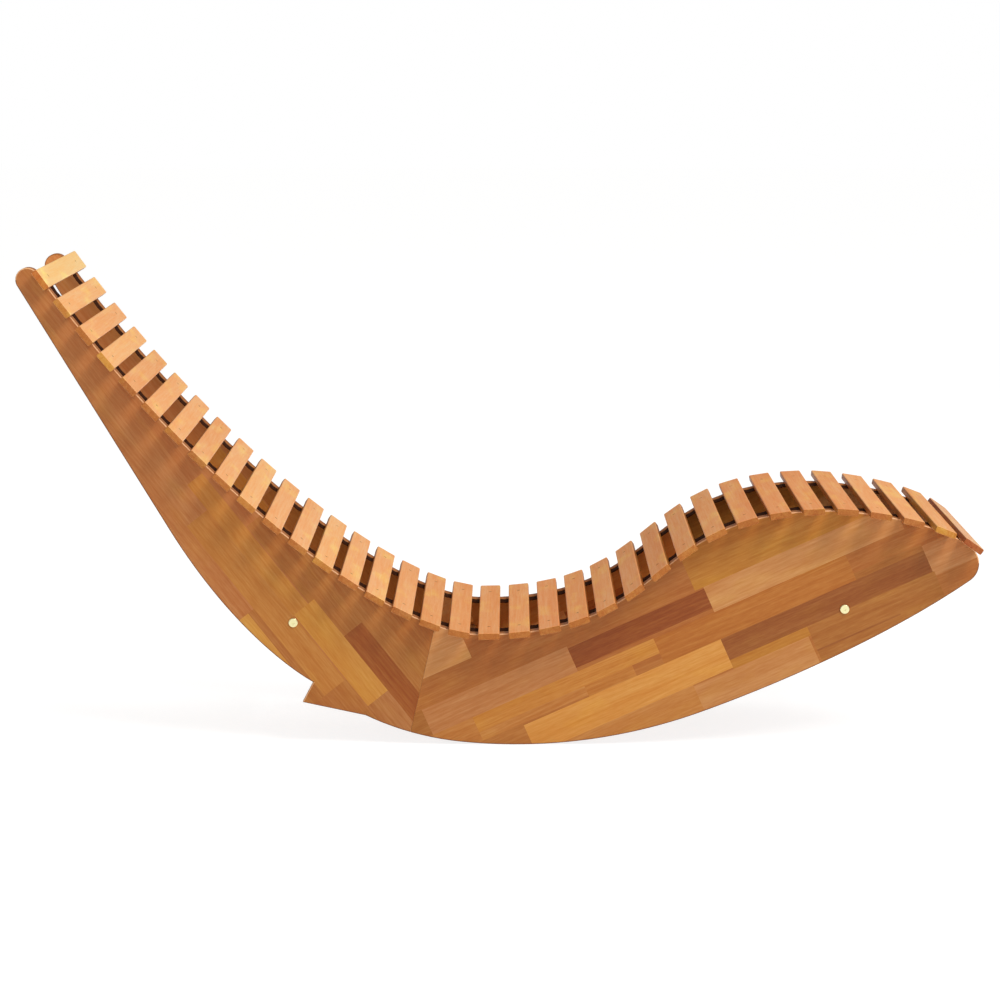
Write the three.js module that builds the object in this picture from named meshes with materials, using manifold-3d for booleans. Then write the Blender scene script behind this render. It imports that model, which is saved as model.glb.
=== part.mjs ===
// Rocking chaise lounge of oiled acacia. Two S-shaped side panels stand on a curved lower edge
// and carry 35 cross slats. Each panel is two boards butted at a slanting joint behind the seat,
// held by dowels and an inner batten. Two rails bolt the sides together, and two webbing straps
// run under the slats.
// Millimetres. X runs from the head end to the foot end, Y from the sitter's right to the left,
// Z up. The origin is on the floor, under the middle of the lounge.

import * as THREE from "three";
import { mergeVertices } from "three/addons/utils/BufferGeometryUtils.js";
import Module from "manifold-3d";

// Overall size
const LENGTH = 1800;
const HEIGHT = 900;

// Clearance between pieces that lie against each other
const FIT = 0.3;
// How far a cutting tool runs past the face that it opens
const OVERRUN = 2;

// Slats
const SLAT_COUNT = 35;
const SLAT_LENGTH = 600;
const SLAT_WIDTH = 40;
const SLAT_THICKNESS = 12;
const SLAT_ARRIS = 2.4;
const SLAT_END_ARRIS = 1.2;
const SLAT_OVERHANG = 70;
const FIRST_SLAT_INSET = 16;
const LAST_SLAT_INSET = 13.5;
// The space before each slat, as a share of the usual one: a little wide at the head, closer in
// the seat hollow, and closest before the last slat. Each share holds up to the slat named.
const SPACING_SHARES = [
  { slat: 3, share: 1.055 },
  { slat: 12, share: 1 },
  { slat: 23, share: 0.935 },
  { slat: 34, share: 0.998 },
  { slat: 35, share: 0.908 },
];
const COUNTERSINK_RADIUS = 4;
const COUNTERSINK_DEPTH = 2.6;
const COUNTERSINK_FLOOR = 1.6;

// Side panels
const PANEL_THICKNESS = 28;
const PANEL_ARRIS = 2;
const EDGE_STEP = 20;
const ROUND_STEP = 4;

// Top edge of the panels, from the head to the toe
const HEAD_RADIUS = 22.5;
const BACK_SLOPE = -54.1;
const SEAT_X = -34;
const SEAT_HEIGHT = 211;
const KNEE_X = 621;
const KNEE_HEIGHT = 446;
const TOE_SLOPE = -42;
const BACK_HANDLE_SHARES = [0.465, 0.161];
const SEAT_HANDLE_SHARES = [0.536, 0.513];
const KNEE_HANDLE_SHARES = [0.18, 0.28];

// Nose and lower edge of the panels, from the toe back to the head
const NOSE_RADIUS = 39;
const NOSE_HEIGHT = 345;
const UNDERSIDE_SLOPE = 35;
const UNDERSIDE_HANDLE_SHARES = [0.33, 0.274];
const ROCKER_X = 30;
const ROCKER_RADIUS = 1016;
const ROCKER_FRONT_TURN = 20;
const ROCKER_REAR_TURN = 5.8;
const REAR_RADIUS = 544;
const REAR_TURN = 25.6;
const HEEL_TIP_X = -371;
const HEEL_TIP_HEIGHT = 81;
const NOTCH_X = -351;
const NOTCH_HEIGHT = 119;
const NOTCH_SLOPE = 30;
const BACK_BEND_X = -617;
const BACK_BEND_HEIGHT = 406;
const BACK_EDGE_HANDLE_SHARES = [0.18, 0.48];

// Joint between the two boards of a panel, measured on the top edge
const JOINT_SHARE = 0.4811;
const JOINT_LEAN = 13;
const DOWEL_RADIUS = 5;
const DOWEL_LENGTH = 60;
const DOWEL_CHAMFER = 1;
const DOWEL_DEPTH_SHARES = { upper: 0.24, lower: 0.76 };
const BATTEN_LENGTH = 190;
const BATTEN_HEIGHT = 70;
const BATTEN_THICKNESS = 20;
const BATTEN_ARRIS = 3;
const BATTEN_END_ARRIS = 1.5;
const BATTEN_DEPTH_SHARE = 0.5;

// Rails between the panels, let into housings, each held by a bolt and a barrel nut at its ends
const RAIL_HEIGHT = 60;
const RAIL_THICKNESS = 28;
const RAIL_ARRIS = 2;
const HOUSING_DEPTH = 6;
// Where each rail sits: along the top edge, and down from there to the opposite edge
const RAIL_SHARES = {
  back: { edgeShare: 0.374, depthShare: 0.64 },
  front: { edgeShare: 0.889, depthShare: 0.679 },
};
const BOLT_RADIUS = 3;
const BOLT_LENGTH = 62;
const BOLT_CHAMFER = 0.6;
const BOLT_HEAD_RADIUS = 8.7;
const BOLT_HEAD_HEIGHT = 3;
const BOLT_HEAD_ROUND = 1.2;
const SOCKET_RADIUS = 2.9;
const SOCKET_DEPTH = 1.8;
const BOLT_CLEARANCE = 0.4;
const NUT_RADIUS = 5;
const NUT_LENGTH = 20;
const NUT_INSET = 26;

// Webbing straps under the slats
const STRAP_WIDTH = 40;
const STRAP_THICKNESS = 1.6;
const STRAP_INSET = 4;

// Facets round a pin and round a small hole
const PIN_SIDES = 14;
const SMALL_SIDES = 8;
const HEX_SIDES = 6;

const wasm = await Module();
wasm.setup();

const rad = THREE.MathUtils.degToRad;
const RIGHT_ANGLE = rad(90);
const HALF_TURN = rad(180);

// A geometry as a closed solid that can be cut.
function solid(geometry) {
  const bare = geometry.clone();
  bare.deleteAttribute("normal");
  bare.deleteAttribute("uv");
  const merged = mergeVertices(bare);
  const shell = new wasm.Mesh({
    numProp: 3,
    vertProperties: merged.attributes.position.array,
    triVerts: new Uint32Array(merged.index.array),
  });
  return new wasm.Manifold(shell);
}

// A cut solid as a flat-shaded geometry.
function geometryOf(cut) {
  const shell = cut.getMesh();
  const geometry = new THREE.BufferGeometry();
  const position = new THREE.BufferAttribute(shell.vertProperties, shell.numProp);
  geometry.setAttribute("position", position);
  geometry.setIndex(new THREE.BufferAttribute(shell.triVerts, 1));
  const faceted = geometry.toNonIndexed();
  faceted.computeVertexNormals();
  return faceted;
}

// The side view is drawn in X and Z: a point, and a point some way off at an angle above +X.
const at = (x, z) => new THREE.Vector2(x, z);
const off = (from, angle, distance) =>
  at(from.x + distance * Math.cos(angle), from.y + distance * Math.sin(angle));

// A curve that leaves one point at an angle and arrives at another point at another angle. Its two
// handles are shares of the straight distance.
function sweep(from, fromAngle, to, toAngle, shares) {
  const reach = from.distanceTo(to);
  return new THREE.CubicBezierCurve(
    from,
    off(from, fromAngle, reach * shares[0]),
    off(to, toAngle, -reach * shares[1]),
    to,
  );
}

// A round stretch run clockwise from one angle of its centre to another.
const round = (centre, radius, fromAngle, toAngle) =>
  new THREE.ArcCurve(centre.x, centre.y, radius, fromAngle, toAngle, true);

const pointsOf = (curve, step) => curve.getSpacedPoints(Math.ceil(curve.getLength() / step));

// Top edge: down the back, through the seat hollow, over the knees and down to the toe.
const headCentre = at(HEAD_RADIUS - LENGTH / 2, HEIGHT - HEAD_RADIUS);
const noseCentre = at(LENGTH / 2 - NOSE_RADIUS, NOSE_HEIGHT);
const headTop = off(headCentre, rad(BACK_SLOPE) + RIGHT_ANGLE, HEAD_RADIUS);
const seatLow = at(SEAT_X, SEAT_HEIGHT);
const kneeTop = at(KNEE_X, KNEE_HEIGHT);
const toe = off(noseCentre, rad(TOE_SLOPE) + RIGHT_ANGLE, NOSE_RADIUS);
const topEdge = new THREE.CurvePath();
topEdge.add(sweep(headTop, rad(BACK_SLOPE), seatLow, 0, BACK_HANDLE_SHARES));
topEdge.add(sweep(seatLow, 0, kneeTop, 0, SEAT_HANDLE_SHARES));
topEdge.add(sweep(kneeTop, 0, toe, rad(TOE_SLOPE), KNEE_HANDLE_SHARES));
const topPoints = topEdge.curves.flatMap((curve) => pointsOf(curve, EDGE_STEP));

// Lower edge: round the nose, along the rocker to the heel spur, and up the back to the head.
function lowerPoints() {
  const noseUnder = off(noseCentre, rad(UNDERSIDE_SLOPE) - RIGHT_ANGLE, NOSE_RADIUS);
  const rockerCentre = at(ROCKER_X, ROCKER_RADIUS);
  const frontAngle = rad(ROCKER_FRONT_TURN) - RIGHT_ANGLE;
  const rearAngle = -rad(ROCKER_REAR_TURN) - RIGHT_ANGLE;
  const heelAngle = -rad(REAR_TURN) - RIGHT_ANGLE;
  const rockerFront = off(rockerCentre, frontAngle, ROCKER_RADIUS);
  const rearCentre = off(rockerCentre, rearAngle, ROCKER_RADIUS - REAR_RADIUS);
  const notch = at(NOTCH_X, NOTCH_HEIGHT);
  const bend = at(BACK_BEND_X, BACK_BEND_HEIGHT);
  const toHead = headCentre.clone().sub(bend);
  const backAngle = toHead.angle() + Math.asin(HEAD_RADIUS / toHead.length());
  const underside = sweep(
    noseUnder,
    rad(UNDERSIDE_SLOPE) + HALF_TURN,
    rockerFront,
    rad(ROCKER_FRONT_TURN) + HALF_TURN,
    UNDERSIDE_HANDLE_SHARES,
  );
  const backEdge = sweep(
    notch,
    HALF_TURN - rad(NOTCH_SLOPE),
    bend,
    backAngle,
    BACK_EDGE_HANDLE_SHARES,
  );
  const noseArc = round(noseCentre, NOSE_RADIUS, rad(TOE_SLOPE) + RIGHT_ANGLE,
    rad(UNDERSIDE_SLOPE) - RIGHT_ANGLE);
  const headArc = round(headCentre, HEAD_RADIUS, backAngle + RIGHT_ANGLE,
    rad(BACK_SLOPE) + RIGHT_ANGLE);
  return [
    ...pointsOf(noseArc, ROUND_STEP),
    ...pointsOf(underside, EDGE_STEP),
    ...pointsOf(round(rockerCentre, ROCKER_RADIUS, frontAngle, rearAngle), EDGE_STEP),
    ...pointsOf(round(rearCentre, REAR_RADIUS, rearAngle, heelAngle), EDGE_STEP),
    at(HEEL_TIP_X, HEEL_TIP_HEIGHT),
    ...pointsOf(backEdge, EDGE_STEP),
    ...pointsOf(headArc, ROUND_STEP),
  ];
}

// The curves meet end to end, so each meeting point comes twice and is kept once.
function onlyOnce(points) {
  return points.filter((point, i) => {
    const next = points[(i + 1) % points.length];
    return point.distanceTo(next) > FIT;
  });
}
const outline = onlyOnce([...topPoints, ...lowerPoints()]);

// A place on the top edge, by its share of the edge's length, with the edge's angle there.
function onTopEdge(share) {
  const point = topEdge.getPointAt(share);
  return { point, angle: topEdge.getTangentAt(share).angle() };
}

// How far it is from a point on the top edge to the opposite edge of the panel at an angle.
function depthAt(from, angle) {
  const ray = off(at(0, 0), angle, 1);
  const hits = outline.map((start, i) => {
    const side = outline[(i + 1) % outline.length].clone().sub(start);
    const gap = start.clone().sub(from);
    const spread = ray.cross(side);
    const distance = gap.cross(side) / spread;
    const share = gap.cross(ray) / spread;
    return share >= 0 && share <= 1 && distance > PANEL_THICKNESS ? distance : Infinity;
  });
  return Math.min(...hits);
}

// Places in the side view where the sides are joined and bolted.
function joint() {
  const { point } = onTopEdge(JOINT_SHARE);
  const down = -RIGHT_ANGLE - rad(JOINT_LEAN);
  const depth = depthAt(point, down);
  return { point, onLine: (share) => off(point, down, depth * share) };
}
const jointLine = joint();

function railCentre({ edgeShare, depthShare }) {
  const { point, angle } = onTopEdge(edgeShare);
  const down = angle - RIGHT_ANGLE;
  return off(point, down, depthAt(point, down) * depthShare);
}

// A bar along Y with rounded arrises: width in X, height in Z.
function bar(width, height, arris, length, endArris) {
  const x = width / 2 - arris;
  const z = height / 2 - arris;
  const section = new THREE.Shape();
  section.absarc(x, z, arris, 0, RIGHT_ANGLE);
  section.absarc(-x, z, arris, RIGHT_ANGLE, HALF_TURN);
  section.absarc(-x, -z, arris, HALF_TURN, HALF_TURN + RIGHT_ANGLE);
  section.absarc(x, -z, arris, -RIGHT_ANGLE, 0);
  const geometry = new THREE.ExtrudeGeometry(section, {
    depth: length - 2 * endArris,
    curveSegments: 1,
    bevelEnabled: endArris > 0,
    bevelThickness: endArris,
    bevelSize: endArris,
    bevelOffset: -endArris,
    bevelSegments: 1,
  });
  geometry.translate(0, 0, endArris - length / 2);
  geometry.rotateX(RIGHT_ANGLE);
  return geometry;
}

// A round pin or a drill along Y, with its middle at the origin.
const pin = (radius, length, sides) =>
  new THREE.CylinderGeometry(radius, radius, length, sides);

// Slats: one shape, with two screw countersinks in its top, seated along the top edge.
const panelY = SLAT_LENGTH / 2 - SLAT_OVERHANG - PANEL_THICKNESS / 2;
const innerY = panelY - PANEL_THICKNESS / 2;
const outerY = panelY + PANEL_THICKNESS / 2;

function slatSolid() {
  const blank = bar(SLAT_WIDTH, SLAT_THICKNESS, SLAT_ARRIS, SLAT_LENGTH, SLAT_END_ARRIS);
  const flare = (COUNTERSINK_RADIUS - COUNTERSINK_FLOOR) / COUNTERSINK_DEPTH;
  const sink = new THREE.CylinderGeometry(
    COUNTERSINK_RADIUS + flare * OVERRUN,
    COUNTERSINK_FLOOR,
    COUNTERSINK_DEPTH + OVERRUN,
    SMALL_SIDES,
  );
  sink.rotateX(RIGHT_ANGLE);
  sink.translate(0, 0, (SLAT_THICKNESS - COUNTERSINK_DEPTH + OVERRUN) / 2);
  const right = solid(sink.clone().translate(0, -panelY, 0));
  const left = solid(sink.clone().translate(0, panelY, 0));
  return solid(blank).subtract(right).subtract(left);
}

// The spaces between neighbouring slats, added up from the first, as shares of the whole run.
function slatShares() {
  const run = [0];
  for (let i = 1; i < SLAT_COUNT; i++) {
    const zone = SPACING_SHARES.find(({ slat }) => i < slat) ?? SPACING_SHARES.at(-1);
    run.push(run[i - 1] + zone.share);
  }
  const length = topEdge.getLength();
  const first = FIRST_SLAT_INSET / length;
  const last = 1 - LAST_SLAT_INSET / length;
  return run.map((sum) => first + (last - first) * (sum / run[SLAT_COUNT - 1]));
}

// The highest that the panel's edge reaches under a slat, above the slat's own place on the edge:
// nothing on the knee bulge, and a little at both arrises in the seat hollow.
function riseUnder(point, angle) {
  const half = SLAT_WIDTH / 2 - SLAT_ARRIS;
  const local = topPoints.map((p) => p.clone().sub(point).rotateAround(at(0, 0), -angle));
  let rise = 0;
  for (let i = 1; i < local.length; i++) {
    const [a, b] = [local[i - 1], local[i]];
    if (a.x === b.x || b.x < -half || a.x > half) continue;
    for (const x of [Math.max(a.x, -half), Math.min(b.x, half)]) {
      rise = Math.max(rise, a.y + ((b.y - a.y) * (x - a.x)) / (b.x - a.x));
    }
  }
  return rise;
}

const slatPlaces = slatShares().map((share) => {
  const { point, angle } = onTopEdge(share);
  const up = angle + RIGHT_ANGLE;
  return { angle, bottom: off(point, up, riseUnder(point, angle) + FIT) };
});

// A panel's full outline, cut at the joint, then bored and housed for what it holds.
function panelSolids(side) {
  const board = new THREE.ExtrudeGeometry(new THREE.Shape(outline), {
    depth: PANEL_THICKNESS - 2 * PANEL_ARRIS,
    bevelThickness: PANEL_ARRIS,
    bevelSize: PANEL_ARRIS,
    bevelOffset: -PANEL_ARRIS,
    bevelSegments: 1,
  });
  board.translate(0, 0, PANEL_ARRIS - PANEL_THICKNESS / 2);
  board.rotateX(RIGHT_ANGLE);
  let panel = solid(board);
  for (const rail of Object.values(RAIL_SHARES)) {
    const centre = railCentre(rail);
    const bore = pin(BOLT_RADIUS + BOLT_CLEARANCE, PANEL_THICKNESS + OVERRUN, SMALL_SIDES);
    bore.translate(centre.x, 0, centre.y);
    const depth = HOUSING_DEPTH + OVERRUN;
    const housing = bar(
      RAIL_THICKNESS + 2 * FIT,
      RAIL_HEIGHT + 2 * FIT,
      RAIL_ARRIS,
      depth,
      0,
    );
    const mouth = PANEL_THICKNESS / 2 - HOUSING_DEPTH + depth / 2;
    housing.translate(centre.x, -side * mouth, centre.y);
    panel = panel.subtract(solid(bore)).subtract(solid(housing));
  }
  for (const share of Object.values(DOWEL_DEPTH_SHARES)) {
    const drill = pin(DOWEL_RADIUS + FIT, DOWEL_LENGTH + 2 * FIT, PIN_SIDES);
    drill.rotateZ(RIGHT_ANGLE);
    drill.rotateY(rad(JOINT_LEAN));
    const centre = jointLine.onLine(share);
    drill.translate(centre.x, 0, centre.y);
    panel = panel.subtract(solid(drill));
  }
  const cut = (end) => {
    const keep = new THREE.BoxGeometry(2 * LENGTH, 2 * PANEL_THICKNESS, 2 * LENGTH);
    keep.translate(end * (LENGTH + FIT / 2), 0, 0);
    keep.rotateY(rad(JOINT_LEAN));
    keep.translate(jointLine.point.x, 0, jointLine.point.y);
    return panel.intersect(solid(keep));
  };
  return { back: cut(-1), front: cut(1) };
}

// Rails: bored at each end for the bolt, and from one face for the barrel nut.
const railHalf = innerY + HOUSING_DEPTH - FIT;
const nutY = innerY - NUT_INSET;

function railSolid() {
  let rail = solid(bar(RAIL_THICKNESS, RAIL_HEIGHT, RAIL_ARRIS, 2 * railHalf, 0));
  const reach = BOLT_LENGTH - PANEL_THICKNESS + HOUSING_DEPTH;
  for (const side of [-1, 1]) {
    const bore = pin(BOLT_RADIUS + BOLT_CLEARANCE, reach + OVERRUN, SMALL_SIDES);
    bore.translate(0, side * (railHalf + (OVERRUN - reach) / 2), 0);
    const depth = (RAIL_THICKNESS + NUT_LENGTH) / 2 + FIT;
    const well = pin(NUT_RADIUS + FIT, depth + OVERRUN, PIN_SIDES);
    well.rotateZ(RIGHT_ANGLE);
    well.translate((RAIL_THICKNESS - depth + OVERRUN) / 2, side * nutY, 0);
    rail = rail.subtract(solid(bore)).subtract(solid(well));
  }
  return rail;
}

// Bolt with a low round head and a hexagon socket: the head's underside is at the origin, and the
// head points to +Y.
function boltSolid() {
  const profile = [
    at(0, -BOLT_LENGTH),
    at(BOLT_RADIUS - BOLT_CHAMFER, -BOLT_LENGTH),
    at(BOLT_RADIUS, BOLT_CHAMFER - BOLT_LENGTH),
    at(BOLT_RADIUS, 0),
    at(BOLT_HEAD_RADIUS, 0),
    at(BOLT_HEAD_RADIUS, BOLT_HEAD_HEIGHT - BOLT_HEAD_ROUND),
    at(BOLT_HEAD_RADIUS - BOLT_HEAD_ROUND, BOLT_HEAD_HEIGHT),
    at(0, BOLT_HEAD_HEIGHT),
  ];
  const body = new THREE.LatheGeometry(profile, PIN_SIDES);
  const socket = pin(SOCKET_RADIUS, SOCKET_DEPTH + OVERRUN, HEX_SIDES);
  socket.translate(0, BOLT_HEAD_HEIGHT + (OVERRUN - SOCKET_DEPTH) / 2, 0);
  return solid(body).subtract(solid(socket));
}

// Barrel nut: a pin along X with the bolt's hole across it.
function nutSolid() {
  const barrel = pin(NUT_RADIUS, NUT_LENGTH, PIN_SIDES).rotateZ(RIGHT_ANGLE);
  const thread = pin(BOLT_RADIUS + FIT, 2 * NUT_RADIUS + OVERRUN, SMALL_SIDES);
  return solid(barrel).subtract(solid(thread));
}

// Dowel: a round pin with chamfered ends, along its own Y.
function dowelGeometry() {
  const half = DOWEL_LENGTH / 2;
  const profile = [
    at(0, -half),
    at(DOWEL_RADIUS - DOWEL_CHAMFER, -half),
    at(DOWEL_RADIUS, DOWEL_CHAMFER - half),
    at(DOWEL_RADIUS, half - DOWEL_CHAMFER),
    at(DOWEL_RADIUS - DOWEL_CHAMFER, half),
    at(0, half),
  ];
  return new THREE.LatheGeometry(profile, PIN_SIDES);
}

// Strap: a ribbon drawn taut under every slat, from the first to the last.
function strapGeometry() {
  const half = SLAT_WIDTH / 2 - SLAT_ARRIS;
  const face = (drop) =>
    slatPlaces.flatMap(({ bottom, angle }) => {
      const middle = off(bottom, angle - RIGHT_ANGLE, drop);
      return [off(middle, angle, -half), off(middle, angle, half)];
    });
  const ribbon = [...face(FIT), ...face(FIT + STRAP_THICKNESS).reverse()];
  const geometry = new THREE.ExtrudeGeometry(new THREE.Shape(ribbon), {
    depth: STRAP_WIDTH,
    bevelEnabled: false,
  });
  geometry.translate(0, 0, -STRAP_WIDTH / 2);
  geometry.rotateX(RIGHT_ANGLE);
  return geometry;
}

// Finishes, as they look in the light of a room
const slatWood = { color: 0xdd9f66, roughness: 0.5, metalness: 0 };
const panelWood = { color: 0xab6d3c, roughness: 0.45, metalness: 0 };
const innerWood = { color: 0xb98552, roughness: 0.6, metalness: 0 };
const dowelWood = { color: 0xd9c08f, roughness: 0.7, metalness: 0 };
const webbing = { color: 0x17130f, roughness: 0.9, metalness: 0 };
const brassPlate = { color: 0xe3cf94, roughness: 0.35, metalness: 0.8 };
const zincSteel = { color: 0xb9b7ae, roughness: 0.4, metalness: 0.9 };

const lounge = new THREE.Group();

function place(name, geometry, finish, x, y, z) {
  const mesh = new THREE.Mesh(geometry, new THREE.MeshStandardMaterial(finish));
  mesh.name = name;
  mesh.position.set(x, y, z);
  lounge.add(mesh);
  return mesh;
}

const slatGeometry = geometryOf(slatSolid());
slatPlaces.forEach(({ bottom, angle }, i) => {
  const name = "slat_" + String(i + 1).padStart(2, "0");
  const middle = off(bottom, angle + RIGHT_ANGLE, SLAT_THICKNESS / 2);
  const slat = place(name, slatGeometry, slatWood, middle.x, 0, middle.y);
  slat.rotation.y = -angle;
});

const railGeometry = geometryOf(railSolid());
for (const [end, rail] of Object.entries(RAIL_SHARES)) {
  const centre = railCentre(rail);
  place(end + "_rail", railGeometry, innerWood, centre.x, 0, centre.y);
}

const boltGeometry = geometryOf(boltSolid());
const nutGeometry = geometryOf(nutSolid());
const sides = { right: -1, left: 1 };
for (const [sideName, side] of Object.entries(sides)) {
  const panels = panelSolids(side);
  for (const [end, panel] of Object.entries(panels)) {
    place(`${sideName}_${end}_panel`, geometryOf(panel), panelWood, 0, side * panelY, 0);
  }

  for (const [end, rail] of Object.entries(RAIL_SHARES)) {
    const { x, y: z } = railCentre(rail);
    const name = `${sideName}_${end}`;
    const bolt = place(name + "_bolt", boltGeometry, brassPlate, x, side * (outerY + FIT), z);
    bolt.rotation.z = side < 0 ? HALF_TURN : 0;
    place(name + "_barrel_nut", nutGeometry, zincSteel, x, side * nutY, z);
  }

  for (const [level, share] of Object.entries(DOWEL_DEPTH_SHARES)) {
    const { x, y: z } = jointLine.onLine(share);
    const name = `${sideName}_${level}_dowel`;
    const dowel = place(name, dowelGeometry(), dowelWood, x, side * panelY, z);
    dowel.rotation.set(0, rad(JOINT_LEAN), RIGHT_ANGLE);
  }

  const batten = bar(
    BATTEN_LENGTH,
    BATTEN_HEIGHT,
    BATTEN_ARRIS,
    BATTEN_THICKNESS,
    BATTEN_END_ARRIS,
  );
  const middle = jointLine.onLine(BATTEN_DEPTH_SHARE);
  const battenY = innerY - FIT - BATTEN_THICKNESS / 2;
  place(sideName + "_joint_batten", batten, innerWood, middle.x, side * battenY, middle.y);

  const strapY = innerY - STRAP_INSET - STRAP_WIDTH / 2;
  place(sideName + "_strap", strapGeometry(), webbing, 0, side * strapY, 0);
}

export default lounge;
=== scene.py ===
import math

import bmesh
import bpy
from mathutils import Matrix, Vector


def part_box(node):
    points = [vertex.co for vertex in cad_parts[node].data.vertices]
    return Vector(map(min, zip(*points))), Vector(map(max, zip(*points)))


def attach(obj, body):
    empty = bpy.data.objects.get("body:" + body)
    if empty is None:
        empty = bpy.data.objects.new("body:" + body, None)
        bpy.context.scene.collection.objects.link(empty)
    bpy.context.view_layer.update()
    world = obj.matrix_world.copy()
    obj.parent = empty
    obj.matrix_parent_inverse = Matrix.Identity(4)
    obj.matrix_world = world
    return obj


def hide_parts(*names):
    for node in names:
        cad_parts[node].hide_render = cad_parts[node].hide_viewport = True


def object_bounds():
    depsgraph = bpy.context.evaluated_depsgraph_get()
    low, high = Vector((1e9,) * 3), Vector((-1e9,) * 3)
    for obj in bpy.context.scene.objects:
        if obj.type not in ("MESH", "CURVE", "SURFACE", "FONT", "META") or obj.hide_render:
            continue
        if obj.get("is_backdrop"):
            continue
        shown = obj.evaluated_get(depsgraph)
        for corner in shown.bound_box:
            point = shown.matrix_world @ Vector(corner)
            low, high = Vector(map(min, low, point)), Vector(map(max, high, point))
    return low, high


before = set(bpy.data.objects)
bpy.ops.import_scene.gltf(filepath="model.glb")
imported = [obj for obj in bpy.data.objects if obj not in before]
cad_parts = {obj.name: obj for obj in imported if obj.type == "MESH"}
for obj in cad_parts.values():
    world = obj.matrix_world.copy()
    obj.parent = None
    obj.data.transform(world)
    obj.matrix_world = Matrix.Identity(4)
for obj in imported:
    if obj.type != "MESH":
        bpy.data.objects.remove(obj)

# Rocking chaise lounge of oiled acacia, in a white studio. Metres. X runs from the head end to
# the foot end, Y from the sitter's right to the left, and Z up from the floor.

cad_low, cad_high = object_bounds()
bpy.ops.object.select_all(action="DESELECT")

# Camera. A long lens stands seven metres off the right side, a little above the knees, so the
# tops of the slats show over the whole length of the side panel.
CAMERA_PLACE = (0.0195, -6.9918, 1.3286)
CAMERA_DOWN = math.radians(7.274)
CAMERA_YAW = math.radians(0.156)
CAMERA_LENS = 131.1
camera = bpy.data.objects.new("camera", bpy.data.cameras.new("camera"))
bpy.context.collection.objects.link(camera)
camera.data.lens = CAMERA_LENS
camera.location = CAMERA_PLACE
camera.rotation_euler = (math.radians(90) - CAMERA_DOWN, 0, CAMERA_YAW)
bpy.context.scene.camera = camera


# Side panels. Each is two boards glued up from acacia staves of mixed shades, cut to the S shape,
# with broken arrises and a coat of oil. The boards butt at a slanting joint behind the seat, and
# their grain runs along the back and along the rise to the knees.
BACK_GRAIN = math.radians(-51.5)
FRONT_GRAIN = math.radians(24)
SAME_POINT = 0.00002
FLAT_WITHIN = math.radians(0.4)
SHARP_FROM = math.radians(50)
# The shades of the staves, from dark heartwood to pale sapwood
SHADES = {
    "heart": 0x884517,
    "umber": 0x8F5222,
    "cherry": 0x95501C,
    "chestnut": 0x9E6128,
    "russet": 0xA5632B,
    "rust": 0xA7672C,
    "clay": 0xA76835,
    "amber": 0xA86425,
    "bronze": 0xAD6F26,
    "cedar": 0xB16E39,
    "tan": 0xB37642,
    "ochre": 0xB37230,
    "sorrel": 0xB37335,
    "fawn": 0xB77B43,
    "maize": 0xB97831,
    "honey": 0xBE7F33,
    "straw": 0xC3874E,
    "gold": 0xC58439,
}
# Round the boards, the lower edges are darker, the top edges carry painted light where the lamps
# catch them, and the outer arris along the top carries a pale painted highlight. How squarely a
# face looks to the side tells which it is.
EDGE_SHADE = 0x8A5020
TOP_EDGE_PAINTED_LIGHT = 0xB06A2E
ARRIS_PAINTED_HIGHLIGHT = 0xE6B080
BROAD_FACE = 0.9
ARRIS_FACE = 0.3
# The inner faces are painted paler than the staves are outside, as painted light let in between
# the slats, and painted darker from the knees on, as painted shade
INNER_PAINTED_LIGHT = {"back": 1.5, "front": 1.75}
KNEE_PAINTED_SHADE = 0.75
KNEE_SHADE_FROM = 0.5
# The staves of a board, laid over it in turn: from and to along the grain, from and to across
# it, and the shade of the wood. The first is the board itself, wherever no other lies over it.
BACK_STAVES = [
    (-1.300, 0.000, -0.400, 0.200, "cedar"),
    (-0.620, 0.000, -0.112, 0.200, "rust"),
    (-0.278, 0.000, -0.260, -0.148, "russet"),
    (-0.344, 0.000, -0.100, -0.057, "cherry"),
    (-0.750, -0.434, -0.150, -0.114, "maize"),
    (-0.434, -0.212, -0.148, -0.100, "honey"),
    (-0.212, 0.000, -0.150, -0.100, "clay"),
    (-0.690, -0.278, -0.200, -0.150, "ochre"),
    (-0.310, -0.278, -0.260, -0.200, "rust"),
    (-0.490, -0.310, -0.214, -0.200, "russet"),
    (-0.490, -0.310, -0.260, -0.214, "honey"),
]
FRONT_STAVES = [
    (-0.300, 1.100, -0.400, 0.400, "russet"),
    (-0.130, 0.020, 0.173, 0.260, "straw"),
    (-0.107, 0.192, 0.068, 0.120, "tan"),
    (-0.107, -0.025, 0.000, 0.068, "sorrel"),
    (0.192, 0.472, 0.075, 0.116, "heart"),
    (-0.025, 0.192, 0.019, 0.068, "sorrel"),
    (-0.025, 0.347, 0.037, 0.068, "maize"),
    (0.192, 0.290, 0.015, 0.037, "ochre"),
    (0.347, 0.740, 0.015, 0.067, "amber"),
    (0.057, 0.462, -0.044, 0.015, "gold"),
    (-0.040, 0.057, -0.020, 0.019, "rust"),
    (0.100, 0.380, -0.120, -0.044, "sorrel"),
    (0.380, 0.615, -0.120, -0.047, "fawn"),
    (0.472, 0.860, 0.067, 0.119, "fawn"),
    (0.455, 0.800, 0.119, 0.210, "bronze"),
    (0.462, 0.877, -0.029, 0.015, "umber"),
    (0.877, 0.980, -0.038, 0.024, "tan"),
    (0.462, 0.620, -0.047, -0.029, "bronze"),
    (0.620, 0.880, -0.120, -0.029, "chestnut"),
    (0.620, 0.790, -0.080, -0.077, "umber"),
    (-0.200, -0.107, 0.000, 0.068, "rust"),
    (-0.200, -0.107, 0.068, 0.120, "chestnut"),
    (0.740, 0.877, 0.015, 0.028, "chestnut"),
]
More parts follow.
